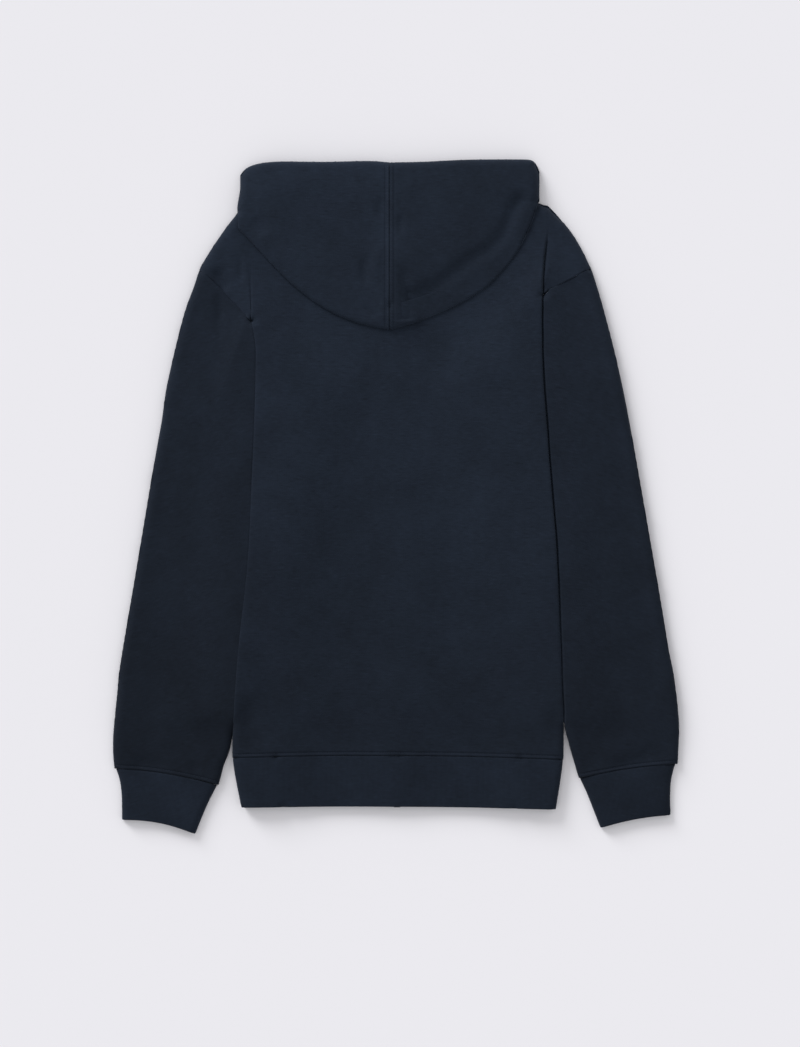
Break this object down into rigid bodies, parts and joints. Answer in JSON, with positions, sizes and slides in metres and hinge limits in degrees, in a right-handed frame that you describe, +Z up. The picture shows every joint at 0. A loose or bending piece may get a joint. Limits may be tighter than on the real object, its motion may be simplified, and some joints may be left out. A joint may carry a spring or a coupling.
{
  "type": "zip-up hoodie",
  "caption": "Dark knit hooded zip-up top lying flat on its front, hood folded down on the back, sleeves beside the body.",
  "frame": {"origin": "on the surface the hoodie lies on, under the middle of its outline", "axes": "+Z up, away from the surface, so the back of the hoodie faces +Z; +Y from the hem to the hood; +X towards the wearer's right"},
  "size_m": [0.6506, 0.775, 0.0158],
  "materials": {
    "fleece": "matte brushed knit, dark navy",
    "rib": "matte fine rib knit, dark navy",
    "zip_tape": "woven tape, dark navy",
    "zip_teeth": "moulded, dark navy",
    "zip_metal": "gunmetal, satin"
  },
  "bodies": {
    "garment": {"back": "fleece", "front_left": "fleece", "front_right": "fleece", "sleeve_left": "fleece", "sleeve_right": "fleece", "cuff_left": "rib", "cuff_right": "rib", "hem_band": "rib", "hood_left": "fleece", "hood_right": "fleece", "hood_folds": "fleece", "hood_edge_left": "fleece", "hood_edge_right": "fleece", "zip_tape_left": "zip_tape", "zip_tape_right": "zip_tape", "zip_chain": "zip_teeth", "zip_box": "zip_teeth", "zip_slider": "zip_metal"},
    "pull": {"zip_pull": "zip_metal"}
  },
  "joints": [
    {"name": "pull_swing", "type": "hinge", "parent": "garment", "child": "pull", "pos_m": [0.002, 0.2489, 0.0021], "axis": [1, 0, 0], "range_deg": [0, 165]}
  ]
}
